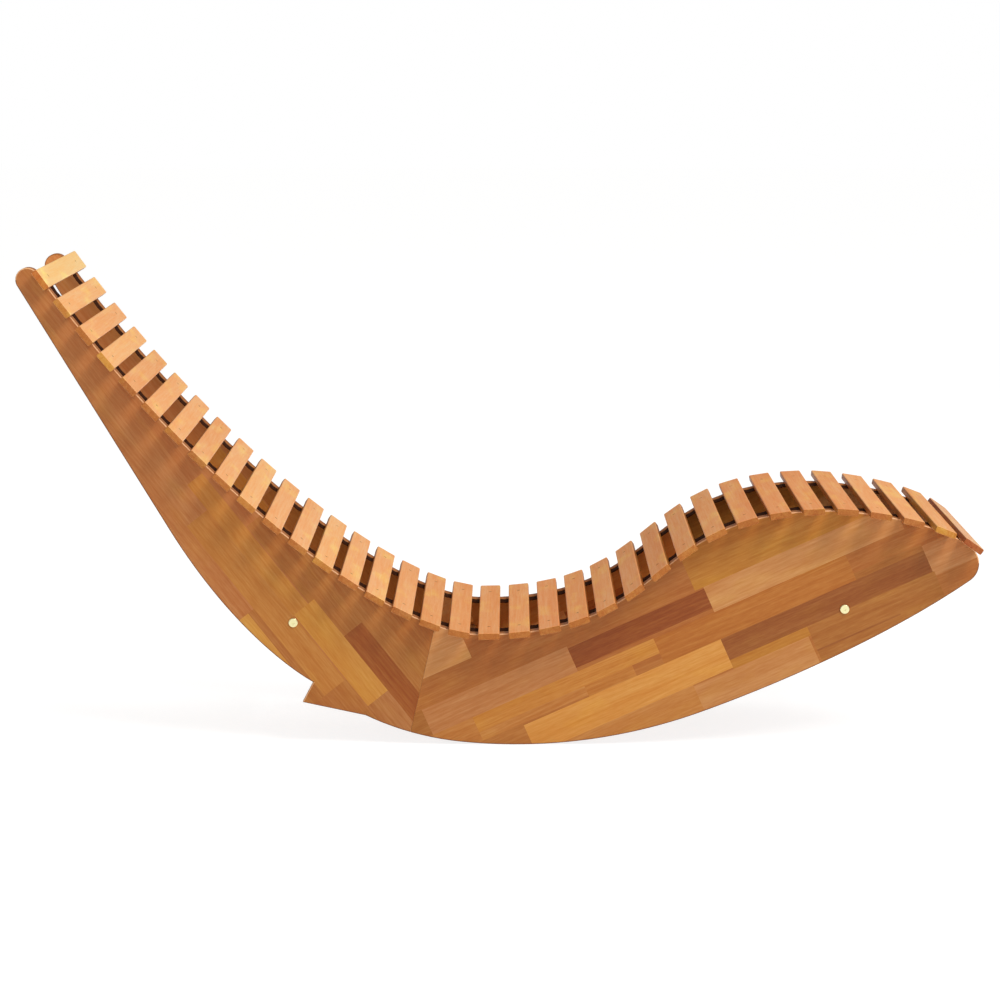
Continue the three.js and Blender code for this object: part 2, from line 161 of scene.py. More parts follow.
# How fast the parts of the grain change along and across it, how far they sway the shade, and
# how far apart in the grain two staves are taken from
BAND_STRETCH = (0.9, 16, 16)
FIBRE_STRETCH = (9, 330, 330)
FLECK_STRETCH = (52, 400, 400)
CLOUD_STRETCH = (9, 26, 26)
RINGS_IN_BAND = 7.5
RING_HALF = 0.5
BAND_REACH = 0.6
FINE_REACH = 0.5
NOISE_SPAN = (0.3, 0.7)
CLOUD_SPAN = (0.52, 0.72)
STAVE_SHIFT = (1.7, 0.9, 1.3)
GRAIN_STEP = 0.37
# The oil's gloss, how much the pores vary its roughness, and the depth of the pores
OIL_GLOSS = 0.3
OIL_WEAR = 0.12
PORE_STRENGTH = 0.12
PORE_DEPTH = 0.0006
FIGURE = (1.06, 1.14, 1.02)
BOARD_CONTRAST = 0.1
BOARD_ROUGHNESS = 0.42


def colour(code):
    """A colour written as on a screen, as the linear values that a shader takes."""
    shares = [(code >> shift & 255) / 255 for shift in (16, 8, 0)]
    linear = [s / 12.92 if s < 0.04045 else ((s + 0.055) / 1.055) ** 2.4 for s in shares]
    return (*linear, 1)


def node(tree, kind, inputs=(), **settings):
    """A new shader node with its settings made and its named inputs set or linked."""
    made = tree.nodes.new("ShaderNode" + kind)
    for key, value in settings.items():
        setattr(made, key, value)
    for key, value in dict(inputs).items():
        if isinstance(value, bpy.types.NodeSocket):
            tree.links.new(value, made.inputs[key])
        else:
            made.inputs[key].default_value = value
    return made


def grain_noise(tree, place, stretch, **settings):
    """Noise with those scales along and across the grain."""
    drawn = node(tree, "Mapping", {"Vector": place, "Scale": stretch})
    inputs = {"Vector": drawn.outputs[0], "Scale": 1, **settings}
    return node(tree, "TexNoise", inputs).outputs["Fac"]


def centred(tree, value, span, reach):
    """The value, spread from that span to as far below zero as above it."""
    ends = {"From Min": span[0], "From Max": span[1], "To Min": -reach, "To Max": reach}
    return node(tree, "MapRange", {"Value": value, **ends}).outputs[0]


def wood_grain():
    """A group that turns a place in a board, with X along its grain, into grain. Shade is the
    power to raise the wood's colour to, so dark lines are redder too. Relief is the height of the
    pores, and Figure is where the wood turns paler and more yellow. Each Stave number has its own
    grain, and Contrast is how much the grain shows."""
    tree = bpy.data.node_groups.new("wood_grain", "ShaderNodeTree")
    new_socket = tree.interface.new_socket
    new_socket("Place", in_out="INPUT", socket_type="NodeSocketVector")
    for name in ("Stave", "Contrast"):
        new_socket(name, in_out="INPUT", socket_type="NodeSocketFloat")
    for name in ("Shade", "Relief", "Figure"):
        new_socket(name, in_out="OUTPUT", socket_type="NodeSocketFloat")
    given = tree.nodes.new("NodeGroupInput").outputs
    shift = {0: STAVE_SHIFT, "Scale": given["Stave"]}
    apart = node(tree, "VectorMath", shift, operation="SCALE")
    moved = node(tree, "VectorMath", {0: given["Place"], 1: apart.outputs[0]}, operation="ADD")
    place = moved.outputs[0]
    band = grain_noise(tree, place, BAND_STRETCH, Scale=1.6, Detail=3, Distortion=0.5)
    rings = node(tree, "Math", {0: band, 1: RINGS_IN_BAND}, operation="MULTIPLY")
    lines = node(tree, "Math", {0: rings.outputs[0], 1: RING_HALF}, operation="PINGPONG")
    fibre = grain_noise(tree, place, FIBRE_STRETCH, Detail=2)
    fleck = grain_noise(tree, place, FLECK_STRETCH, Detail=1)
    cloud = grain_noise(tree, place, CLOUD_STRETCH, Detail=2)
    # Broad bands first, then the lines of the rings, then the fibres and the flecks
    total = centred(tree, band, NOISE_SPAN, BAND_REACH)
    for part in (
        centred(tree, lines.outputs[0], (0, RING_HALF), FINE_REACH),
        centred(tree, fibre, NOISE_SPAN, FINE_REACH),
        centred(tree, fleck, NOISE_SPAN, FINE_REACH),
    ):
        total = node(tree, "Math", {0: total, 1: part}, operation="ADD").outputs[0]
    power = {0: total, 1: given["Contrast"], 2: 1}
    shade = node(tree, "Math", power, operation="MULTIPLY_ADD")
    cloud_ends = {"From Min": CLOUD_SPAN[0], "From Max": CLOUD_SPAN[1]}
    clouded = node(tree, "MapRange", {"Value": cloud, **cloud_ends})
    put_out = tree.nodes.new("NodeGroupOutput").inputs
    tree.links.new(shade.outputs[0], put_out["Shade"])
    tree.links.new(fibre, put_out["Relief"])
    tree.links.new(clouded.outputs[0], put_out["Figure"])
    return tree


grain_group = wood_grain()


def oiled_wood(name, turn, base, contrast, roughness, figure):
    """Oiled wood whose grain lies along X once its places are turned. base is a colour, or the
    name of the attribute that holds each stave's own colour. figure is what its pale patches
    multiply that colour by."""
    made = bpy.data.materials.new(name)
    made.use_nodes = True
    tree = made.node_tree
    place = node(tree, "TexCoord").outputs["Object"]
    turned = node(tree, "Mapping", {"Vector": place, "Rotation": turn})
    stave = node(tree, "Attribute", attribute_name="stave").outputs["Fac"]
    grain = node(tree, "Group", node_tree=grain_group)
    tree.links.new(turned.outputs[0], grain.inputs["Place"])
    tree.links.new(stave, grain.inputs["Stave"])
    grain.inputs["Contrast"].default_value = contrast
    if isinstance(base, str):
        base = node(tree, "Attribute", attribute_name=base).outputs["Color"]
    figured = node(
        tree,
        "MixRGB",
        {"Fac": grain.outputs["Figure"], "Color1": base, "Color2": (*figure, 1)},
        blend_type="MULTIPLY",
    )
    shaded = node(
        tree,
        "Gamma",
        {"Color": figured.outputs[0], "Gamma": grain.outputs["Shade"]},
    )
    relief = grain.outputs["Relief"]
    dull_ends = {"To Min": roughness - OIL_WEAR, "To Max": roughness + OIL_WEAR}
    dull = node(tree, "MapRange", {"Value": relief, **dull_ends})
    pores = node(
        tree,
        "Bump",
        {"Height": relief, "Strength": PORE_STRENGTH, "Distance": PORE_DEPTH},
    )
    skin = tree.nodes["Principled BSDF"].inputs
    skin["Specular IOR Level"].default_value = OIL_GLOSS
    tree.links.new(shaded.outputs[0], skin["Base Color"])
    tree.links.new(dull.outputs[0], skin["Roughness"])
    tree.links.new(pores.outputs[0], skin["Normal"])
    return made


def start_piece(name, mesh):
    """A new piece with that mesh, the only thing selected, ready for edit mode."""
    bpy.ops.object.select_all(action="DESELECT")
    piece = bpy.data.objects.new(name, mesh)
    bpy.context.collection.objects.link(piece)
    bpy.context.view_layer.objects.active = piece
    piece.select_set(True)
    return piece


def whole_copy(node_name, name):
    """A CAD node's mesh as a new piece, its loose triangles merged into whole faces."""
    piece = start_piece(name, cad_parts[node_name].data.copy())
    piece.data.materials.clear()
    bpy.ops.mesh.customdata_custom_splitnormals_clear()
    bpy.ops.object.mode_set(mode="EDIT")
    bpy.context.tool_settings.mesh_select_mode = (False, False, True)
    bpy.ops.mesh.select_all(action="SELECT")
    bpy.ops.mesh.remove_doubles(threshold=SAME_POINT)
    bpy.ops.mesh.dissolve_limited(angle_limit=FLAT_WITHIN)
    bpy.ops.object.mode_set(mode="OBJECT")
    return piece


def mark_woods(piece, wood_of):
    """Gives each face the colour of its wood, and the place in the grain that it starts from."""
    piece.data.attributes.new("stave_colour", "FLOAT_COLOR", "FACE")
    piece.data.attributes.new("stave", "FLOAT", "FACE")
    woods = [wood_of(face) for face in piece.data.polygons]
    colours = [share for wood, _ in woods for share in wood]
    starts = [number * GRAIN_STEP for _, number in woods]
    piece.data.attributes["stave_colour"].data.foreach_set("color", colours)
    piece.data.attributes["stave"].data.foreach_set("value", starts)


def cut_staves(piece, grain, staves, outward, inner_painted_light):
    """Cuts the faces of a board along the edges of its staves, and marks each with its wood, with
    painted light on the top edges, a painted highlight on the outer arris, and painted light and
    shade on the inner faces. outward is the way along Y that the board's outer face looks."""
    along = Vector((math.cos(grain), 0, math.sin(grain)))
    across = Vector((-math.sin(grain), 0, math.cos(grain)))
    bpy.ops.object.mode_set(mode="EDIT")
    for start, end, low, high, _ in staves[1:]:
        for axis, cut in ((along, start), (along, end), (across, low), (across, high)):
            mesh = bmesh.from_edit_mesh(piece.data)
            for face in mesh.faces:
                us = [along.dot(v.co) for v in face.verts]
                vs = [across.dot(v.co) for v in face.verts]
                beside = max(us) < start or min(us) > end or max(vs) < low or min(vs) > high
                face.select_set(not beside)
            bmesh.update_edit_mesh(piece.data)
            bpy.ops.mesh.bisect(plane_co=axis * cut, plane_no=axis)
    bpy.ops.object.mode_set(mode="OBJECT")

    def wood_of(face):
        """The colour of a face, and the number of the stave that lies on top there."""
        u, v = along.dot(face.center), across.dot(face.center)
        for number in reversed(range(len(staves))):
            start, end, low, high, shade = staves[number]
            if start < u < end and low < v < high:
                break
        out = face.normal.y * outward
        if out > BROAD_FACE:
            return colour(SHADES[shade]), number
        # Inner faces: paler as painted light, and darker from the knees on as painted shade
        if out < -BROAD_FACE:
            gain = KNEE_PAINTED_SHADE if u > KNEE_SHADE_FROM else inner_painted_light
            return [share * gain for share in colour(SHADES[shade])], number
        # The outer arris along the top takes a pale painted highlight, and the other top edges
        # painted light
        if out > ARRIS_FACE and face.normal.z > 0:
            return colour(ARRIS_PAINTED_HIGHLIGHT), number
        return colour(TOP_EDGE_PAINTED_LIGHT if face.normal.z > 0 else EDGE_SHADE), number

    mark_woods(piece, wood_of)


def round_off(piece):
    """Smooth shading that keeps the flat faces flat, so the narrow arrises read as rounded."""
    bpy.ops.object.shade_smooth_by_angle(angle=SHARP_FROM)
    modifier = piece.modifiers.new("arrises", "WEIGHTED_NORMAL")
    modifier.keep_sharp = True
    bpy.ops.object.modifier_apply(modifier=modifier.name)


boards = {"back": (BACK_GRAIN, BACK_STAVES), "front": (FRONT_GRAIN, FRONT_STAVES)}
board_woods = {
    end: oiled_wood(
        f"{end}_board_wood",
        (0, grain, 0),
        "stave_colour",
        BOARD_CONTRAST,
        BOARD_ROUGHNESS,
        FIGURE,
    )
    for end, (grain, _) in boards.items()
}
for side in ("right", "left"):
    for end, (grain, staves) in boards.items():
        panel = whole_copy(f"{side}_{end}_panel", f"{side}_{end}_board")
        outward = 1 if side == "left" else -1
        cut_staves(panel, grain, staves, outward, INNER_PAINTED_LIGHT[end])
        round_off(panel)
        panel.data.materials.append(board_woods[end])
        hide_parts(f"{side}_{end}_panel")
        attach(panel, "root")


# Dowels, joint battens and cross rails. Plain unshaded acacia inside the lounge: the dowels and
# battens hold each panel's two boards together, and the rails hold the two panels apart.
INNER_WOOD = colour(0xB07A48)
INNER_CONTRAST = 0.14
INNER_ROUGHNESS = 0.5
DOWEL_WOOD = colour(0xCDB283)
DOWEL_CONTRAST = 0.1
DOWEL_ROUGHNESS = 0.6
ALONG_X = (0, 0, 0)
ALONG_Y = (0, 0, math.radians(-90))
inner = (INNER_WOOD, INNER_CONTRAST, INNER_ROUGHNESS, FIGURE)
inner_woods = {
    "_rail": oiled_wood("rail_wood", ALONG_Y, *inner),
    "_batten": oiled_wood("batten_wood", ALONG_X, *inner),
    "_dowel": oiled_wood(
        "dowel_wood", ALONG_X, DOWEL_WOOD, DOWEL_CONTRAST, DOWEL_ROUGHNESS, FIGURE
    ),
}
for name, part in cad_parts.items():
    for ending, wood in inner_woods.items():
        if name.endswith(ending):
            part.material_slots[0].material = wood


# Rail bolts and barrel nuts. Each rail end is drawn up by one furniture bolt through the panel,
# with a flat round head and a hexagon socket, brass plated, screwed into a zinc barrel nut that
# sits across the rail.
HEAD_RADIUS = 0.0087
HEAD_HEIGHT = 0.003
HEAD_ROUND = 0.0011
SHANK_RADIUS = 0.003
SHANK_POINT = 0.0006
SOCKET_RADIUS = 0.0029
SOCKET_DEPTH = 0.0018
BOLT_SIDES = 48
HEXAGON = 6
# How far a cutter stands out of what it cuts, and how near an edge lies to where it is looked for
OVERRUN = 0.001
# How squarely a face looks the way that it is picked by
SQUARE_ON = 0.9
# How many strips a rounded edge is made of, and one that is only broken
ROUND_STEPS = 4
BROKEN_STEPS = 2
BRASS = 0xFFF6BF
ZINC = 0xB9B7AE
RUBBED_SCALE = 260
bolt_names = [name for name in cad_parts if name.endswith("_bolt")]
bolt_low, bolt_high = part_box(bolt_names[0])
shank_length = bolt_high.y - bolt_low.y - HEAD_HEIGHT


def bevel_edges(piece, chosen, offset, segments):
    """Rounds off the edges that chosen picks by their two ends."""
    bpy.ops.object.mode_set(mode="EDIT")
    bpy.context.tool_settings.mesh_select_mode = (False, True, False)
    bpy.ops.mesh.select_all(action="DESELECT")
    mesh = bmesh.from_edit_mesh(piece.data)
    for edge in mesh.edges:
        edge.select_set(chosen(edge.verts[0].co, edge.verts[1].co))
    bmesh.update_edit_mesh(piece.data)
    bpy.ops.mesh.bevel(offset=offset, segments=segments, profile=0.5)
    bpy.ops.object.mode_set(mode="OBJECT")


def pick_faces(piece, chosen):
    """Goes into edit mode with the faces selected that chosen picks."""
    bpy.ops.object.mode_set(mode="EDIT")
    bpy.context.tool_settings.mesh_select_mode = (False, False, True)
    bpy.ops.mesh.select_all(action="DESELECT")
    mesh = bmesh.from_edit_mesh(piece.data)
    for face in mesh.faces:
        face.select_set(chosen(face))
    bmesh.update_edit_mesh(piece.data)


def cut_out(piece, cutter):
    """Takes the cutter's shape out of the piece, and deletes the cutter."""
    modifier = piece.modifiers.new("cut", "BOOLEAN")
    modifier.object = cutter
    modifier.solver = "EXACT"
    bpy.context.view_layer.objects.active = piece
    bpy.ops.object.modifier_apply(modifier=modifier.name)
    bpy.data.objects.remove(cutter)


def round_start(sides, radius, height, place):
    """A short cylinder to start from, the only thing selected."""
    bpy.ops.object.select_all(action="DESELECT")
    bpy.ops.mesh.primitive_cylinder_add(
        vertices=sides,
        radius=radius,
        depth=height,
        location=place,
    )
    bpy.ops.object.transform_apply()
    return bpy.context.object


bolt_pattern = round_start(BOLT_SIDES, HEAD_RADIUS, HEAD_HEIGHT, (0, 0, HEAD_HEIGHT / 2))
pick_faces(bolt_pattern, lambda face: face.normal.z < -SQUARE_ON)
bpy.ops.mesh.inset(thickness=HEAD_RADIUS - SHANK_RADIUS)
bpy.ops.mesh.extrude_region_move(TRANSFORM_OT_translate={"value": (0, 0, -shank_length)})
bpy.ops.object.mode_set(mode="OBJECT")
bevel_edges(
    bolt_pattern,
    lambda a, b: min(a.z, b.z) > HEAD_HEIGHT - OVERRUN / 2,
    HEAD_ROUND,
    ROUND_STEPS,
)
bevel_edges(
    bolt_pattern,
    lambda a, b: max(a.z, b.z) < OVERRUN - shank_length,
    SHANK_POINT,
    BROKEN_STEPS,
)
socket_height = SOCKET_DEPTH + OVERRUN
socket_middle = HEAD_HEIGHT - SOCKET_DEPTH + socket_height / 2
cut_out(bolt_pattern, round_start(HEXAGON, SOCKET_RADIUS, socket_height, (0, 0, socket_middle)))


def metal(name, code, roughness, wear):
    """Plated metal, a little duller and rougher in patches where hands and tools have rubbed."""
    made = bpy.data.materials.new(name)
    made.use_nodes = True
    tree = made.node_tree
    place = node(tree, "TexCoord").outputs["Object"]
    noise = node(tree, "TexNoise", {"Vector": place, "Scale": RUBBED_SCALE, "Detail": 3})
    patches = noise.outputs["Fac"]
    dull_ends = {"To Min": roughness - wear, "To Max": roughness + wear}
    dulled = node(tree, "MapRange", {"Value": patches, **dull_ends})
    low, high = NOISE_SPAN
    tint_ends = {"From Min": low, "From Max": high, "To Min": 1 - wear / 2}
    tint = node(tree, "MapRange", {"Value": patches, **tint_ends})
    plating = {0: colour(code)[:3], "Scale": tint.outputs[0]}
    shaded = node(tree, "VectorMath", plating, operation="SCALE")
    skin = tree.nodes["Principled BSDF"].inputs
    skin["Metallic"].default_value = 1
    tree.links.new(shaded.outputs[0], skin["Base Color"])
    tree.links.new(dulled.outputs[0], skin["Roughness"])
    return made


brass = metal("brass_plate", BRASS, roughness=0.32, wear=0.08)
zinc = metal("zinc_steel", ZINC, roughness=0.4, wear=0.12)
for name in bolt_names:
    low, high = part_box(name)
    outward = 1 if name.startswith("left") else -1
    seat = Vector(((low.x + high.x) / 2, high.y if outward > 0 else low.y, (low.z + high.z) / 2))
    seat.y -= outward * HEAD_HEIGHT
    bolt = start_piece(name + "_brass", bolt_pattern.data.copy())
    facing = Matrix.Rotation(math.radians(-90 * outward), 4, "X")
    bolt.data.transform(Matrix.Translation(seat) @ facing)
    round_off(bolt)
    bolt.data.materials.append(brass)
    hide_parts(name)
    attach(bolt, "root")
bpy.data.objects.remove(bolt_pattern)
for name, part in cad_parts.items():
    if name.endswith("_barrel_nut"):
        part.material_slots[0].material = zinc


# Slats. Thirty-five flat battens of pale acacia with rounded arrises, oiled like the panels. Each
# has a countersunk hole over each panel for the screw that fixes it.
SLAT_WIDTH = 0.040
SLAT_THICKNESS = 0.012
SLAT_ARRIS = 0.0024
SLAT_END_ARRIS = 0.0012
SINK_RADIUS = 0.004
SINK_FLOOR_RADIUS = 0.0016
SINK_DEPTH = 0.0026
SINK_SIDES = 24
slat_names = sorted(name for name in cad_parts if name.startswith("slat_"))
slat_ends = [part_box(slat_names[0])[k].y for k in (0, 1)]
slat_length = slat_ends[1] - slat_ends[0]
panel_y = [sum(c.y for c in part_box(f"{side}_back_panel")) / 2 for side in ("right", "left")]
bpy.ops.object.select_all(action="DESELECT")
bpy.ops.mesh.primitive_cube_add(size=1)
slat_pattern = bpy.context.object
slat_pattern.dimensions = (SLAT_WIDTH, slat_length, SLAT_THICKNESS)
bpy.ops.object.transform_apply(location=False, rotation=False, scale=True)
bevel_edges(
    slat_pattern,
    lambda a, b: abs(a.y - b.y) > slat_length / 2,
    SLAT_ARRIS,
    ROUND_STEPS,
)
bevel_edges(
    slat_pattern,
    lambda a, b: abs(a.y - b.y) < OVERRUN and abs(a.y) > slat_length / 2 - OVERRUN,
    SLAT_END_ARRIS,
    BROKEN_STEPS,
)
flare = (SINK_RADIUS - SINK_FLOOR_RADIUS) / SINK_DEPTH
for y in panel_y:
    bpy.ops.object.select_all(action="DESELECT")
    bpy.ops.mesh.primitive_cone_add(
        vertices=SINK_SIDES,
        radius1=SINK_FLOOR_RADIUS,
        radius2=SINK_RADIUS + flare * OVERRUN,
        depth=SINK_DEPTH + OVERRUN,
        location=(0, y, (SLAT_THICKNESS - SINK_DEPTH + OVERRUN) / 2),
    )
    cut_out(slat_pattern, bpy.context.object)


def slat_seat(name):
    """The middle of a CAD slat, and how far it is turned up from +X towards +Z."""
    low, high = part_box(name)
    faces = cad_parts[name].data.polygons
    up = max(faces, key=lambda face: face.area).normal
    up = up if up.z > 0 else -up
    return (low + high) / 2, math.atan2(-up.x, up.z)


# The woods of the slats, each on its broad faces and on its edges and ends, and then the wood of
# each slat from the head. How squarely a face looks up or down from the slat tells a broad one.
SLAT_WOODS = {
    "cream": (0xF9CA84, 0xBC6B2B),
    "wheat": (0xF7B675, 0xBD7B35),
    "sand": (0xF7B675, 0xC88A38),
    "peach": (0xF4AE6F, 0xAF682B),
    "pink": (0xEFA667, 0xA9632A),
    "apricot": (0xE99F5F, 0xAE682A),
    "toffee": (0xE99F5F, 0xBA772B),
    "copper": (0xE79758, 0xA66125),
    "rose": (0xE5A977, 0x9B4F21),
}
SLAT_ORDER = (
    "cream wheat peach sand pink peach peach pink peach wheat peach peach "
    "wheat peach peach pink apricot apricot apricot apricot copper apricot apricot "
    "apricot apricot apricot apricot copper copper copper copper pink pink toffee rose"
).split()
SLAT_FIGURE = (1.05, 1.26, 1.04)
SLAT_CONTRAST = 0.13
SLAT_ROUGHNESS = 0.45
SLAT_BROAD_FACE = 0.4
slat_finish = oiled_wood(
    "slat_wood", ALONG_Y, "stave_colour", SLAT_CONTRAST, SLAT_ROUGHNESS, SLAT_FIGURE
)
slat_seats = {name: slat_seat(name) for name in slat_names}
for number, (name, (middle, angle)) in enumerate(slat_seats.items(), start=1):
    slat = start_piece(name + "_batten", slat_pattern.data.copy())
    slat.data.transform(Matrix.Translation(middle) @ Matrix.Rotation(-angle, 4, "Y"))
    round_off(slat)
    broad_wood, edge_wood = [colour(code) for code in SLAT_WOODS[SLAT_ORDER[number - 1]]]
    up = Vector((-math.sin(angle), 0, math.cos(angle)))
    mark_woods(
        slat,
        lambda face: (
            broad_wood if abs(up.dot(face.normal)) > SLAT_BROAD_FACE else edge_wood,
            number,
        ),
    )
    slat.data.materials.append(slat_finish)
    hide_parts(name)
    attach(slat, "root")
bpy.data.objects.remove(slat_pattern)


# Screws. A browned steel screw holds every slat down to each panel, and four more hold each end
# of the joint battens. Their countersunk heads sit just under the surface, with a cross recess.
SCREW_RADIUS = 0.0036
SCREW_SUNK = 0.0005
SCREW_HEIGHT = 0.0019
SCREW_NECK = 0.0017
RECESS_LENGTH = 0.0042
RECESS_WIDTH = 0.0009
RECESS_DEPTH = 0.0009
SCREW_SIDES = 20
SCREW_BROWN = 0x5C4636
BATTEN_SCREW_INSETS = (0.018, 0.062)
BATTEN_SCREW_EDGE = 0.018
bpy.ops.object.select_all(action="DESELECT")
bpy.ops.mesh.primitive_cone_add(
    vertices=SCREW_SIDES,
    radius1=SCREW_NECK,
    radius2=SCREW_RADIUS,
    depth=SCREW_HEIGHT,
    location=(0, 0, -SCREW_SUNK - SCREW_HEIGHT / 2),
)
screw_pattern = bpy.context.object
bpy.ops.object.transform_apply()
for size in ((RECESS_LENGTH, RECESS_WIDTH), (RECESS_WIDTH, RECESS_LENGTH)):
    bpy.ops.object.select_all(action="DESELECT")
    bpy.ops.mesh.primitive_cube_add(size=1, location=(0, 0, -SCREW_SUNK))
    bpy.context.object.dimensions = (*size, 2 * RECESS_DEPTH)
    bpy.ops.object.transform_apply()
    cut_out(screw_pattern, bpy.context.object)
screw_brown = metal("screw_brown", SCREW_BROWN, roughness=0.45, wear=0.1)


def set_out(name, pattern, seats, finish):
    """Copies of the pattern, each moved by the matrix of its seat, joined into one piece."""
    copies = []
    for seat in seats:
        copy = start_piece(name, pattern.data.copy())
        copy.data.transform(seat)
        copies.append(copy)
    for copy in copies:
        copy.select_set(True)
    bpy.ops.object.join()
    made = bpy.context.object
    made.name = name
    made.data.materials.append(finish)
    return made


def on_slat(seat, y):
    """The matrix from the top of a slat, over the place y, to the frame."""
    middle, angle = seat
    turned = Matrix.Translation(middle) @ Matrix.Rotation(-angle, 4, "Y")
    return turned @ Matrix.Translation((0, y, SLAT_THICKNESS / 2))


for side, y in zip(("right", "left"), panel_y):
    low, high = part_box(f"{side}_joint_batten")
    inner_y = high.y if side == "right" else low.y
    inward = Matrix.Rotation(math.radians(-90 if side == "right" else 90), 4, "X")
    inner_face = inward @ Matrix.Translation((0, 0, SCREW_SUNK))
    seats = {
        f"{side}_slat_screws": [on_slat(seat, y) for seat in slat_seats.values()],
        f"{side}_batten_screws": [
            Matrix.Translation((x, inner_y, z)) @ inner_face
            for inset in BATTEN_SCREW_INSETS
            for x in (low.x + inset, high.x - inset)
            for z in (low.z + BATTEN_SCREW_EDGE, high.z - BATTEN_SCREW_EDGE)
        ],
    }
    for name, places in seats.items():
        screws = set_out(name, screw_pattern, places, screw_brown)
        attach(screws, "root")
bpy.data.objects.remove(screw_pattern)


# Straps. Two bands of flat, dark brown webbing run under all the slats, just inside the panels,
# and are stapled to each one. They keep the slats square and hold one that works loose.
STRAP_THICKNESS = 0.0016
STRAP_GAP = 0.0003
STRAP_SAG = 0.0012
STRAP_SOFTNESS = STRAP_THICKNESS / 4
WEB_RIB = 0.0024
WEB_YARN = 0.0020
WEB_BROWN = 0x3E1C06
# How dark the hollows of the weave are painted, as painted shade, and how pale its ridges, as
# painted light
WEB_HOLLOW_SHADE = 0.55
WEB_RIDGE_LIGHT = 1.35
WEB_RELIEF = 0.0003
WEB_ROUGHNESS = 0.8
WEB_GLOSS = 0.08


def webbing():
    """Woven webbing, with ribs across the band and each yarn half a rib on from the one beside
    it. Its own UV map holds the way along the band and the way across it, in metres."""
    made = bpy.data.materials.new("brown_webbing")
    made.use_nodes = True
    tree = made.node_tree

    def arithmetic(kind, *values):
        """The result of one step of arithmetic."""
        return node(tree, "Math", dict(enumerate(values)), operation=kind).outputs[0]

    place = node(tree, "UVMap", uv_map="band").outputs["UV"]
    parts = node(tree, "SeparateXYZ", {0: place}).outputs
    row = arithmetic("DIVIDE", parts["Y"], WEB_YARN)
    step = arithmetic("MULTIPLY", arithmetic("FLOOR", row), math.pi)
    turn = arithmetic("MULTIPLY_ADD", parts["X"], 2 * math.pi / WEB_RIB, step)
    rounded = arithmetic("ABSOLUTE", arithmetic("SINE", arithmetic("MULTIPLY", row, math.pi)))
    height = arithmetic("MULTIPLY", arithmetic("SINE", turn), rounded)
    # The yarn's colour follows the height of the weave: painted shade in the hollows, painted
    # light on the ridges
    shades = {"From Min": -1, "To Min": WEB_HOLLOW_SHADE, "To Max": WEB_RIDGE_LIGHT}
    weave_painted_shade = node(tree, "MapRange", {"Value": height, **shades})
    yarn = {0: colour(WEB_BROWN)[:3], "Scale": weave_painted_shade.outputs[0]}
    shaded = node(tree, "VectorMath", yarn, operation="SCALE")
    relief = node(tree, "Bump", {"Height": height, "Distance": WEB_RELIEF})
    skin = tree.nodes["Principled BSDF"].inputs
    skin["Roughness"].default_value = WEB_ROUGHNESS
    skin["Specular IOR Level"].default_value = WEB_GLOSS
    tree.links.new(shaded.outputs[0], skin["Base Color"])
    tree.links.new(relief.outputs[0], skin["Normal"])
    return made


web_finish = webbing()
flat_half = SLAT_WIDTH / 2 - SLAT_ARRIS
web_drop = STRAP_GAP + STRAP_THICKNESS / 2
# The middle of a strap, flat under each slat and sagging to one low point before the next, and
# how far along it each point lies
route = []
for seat in slat_seats.values():
    under = on_slat(seat, 0) @ Matrix.Translation((0, 0, -SLAT_THICKNESS - web_drop))
    ends = [under @ Vector((x, 0, 0)) for x in (-flat_half, flat_half)]
    if route:
        low_point = (route[-1] + ends[0]) / 2
        low_point += under.to_3x3() @ Vector((0, 0, -STRAP_SAG))
        route.append(low_point)
    route += ends
lengths = [0]
for before, after in zip(route, route[1:]):
    lengths.append(lengths[-1] + (after - before).length)


def strap(side):
    """One band, drawn out edge by edge along the route from the head to the foot."""
    low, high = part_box(f"{side}_strap")
    width = high.y - low.y
    middle_y = Vector((0, (low.y + high.y) / 2, 0))
    bpy.ops.object.select_all(action="DESELECT")
    bpy.ops.mesh.primitive_plane_add(size=width, location=route[0] + middle_y)
    band = bpy.context.object
    bpy.ops.object.transform_apply()
    bpy.ops.object.mode_set(mode="EDIT")
    bpy.context.tool_settings.mesh_select_mode = (False, True, False)
    # The plane is drawn in to one edge across the strap, and that is drawn out along the route
    mesh = bmesh.from_edit_mesh(band.data)
    for vertex in mesh.verts:
        vertex.co.x = route[0].x
        vertex.co.z = route[0].z
    bpy.ops.mesh.select_all(action="SELECT")
    bpy.ops.mesh.remove_doubles(threshold=SAME_POINT)
    for before, after in zip(route, route[1:]):
        bpy.ops.mesh.extrude_edges_move(TRANSFORM_OT_translate={"value": after - before})
    bpy.ops.mesh.select_all(action="SELECT")
    bpy.ops.mesh.normals_make_consistent(inside=False)
    bpy.ops.object.mode_set(mode="OBJECT")
    layer = band.data.uv_layers.new(name="band")
    for loop in band.data.loops:
        place = band.data.vertices[loop.vertex_index].co
        nearest = min(range(len(route)), key=lambda k: abs(route[k].x - place.x))
        layer.data[loop.index].uv = (lengths[nearest], place.y - low.y)
    thicken = band.modifiers.new("thickness", "SOLIDIFY")
    thicken.thickness = STRAP_THICKNESS
    thicken.offset = 0
    soften = band.modifiers.new("selvedge", "BEVEL")
    soften.width = STRAP_SOFTNESS
    soften.segments = BROKEN_STEPS
    for modifier in (thicken, soften):
        bpy.ops.object.modifier_apply(modifier=modifier.name)
    band.name = f"{side}_webbing"
    bpy.ops.object.shade_smooth_by_angle(angle=SHARP_FROM)
    band.data.materials.append(web_finish)
    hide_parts(f"{side}_strap")
    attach(band, "root")


strap("right")
strap("left")


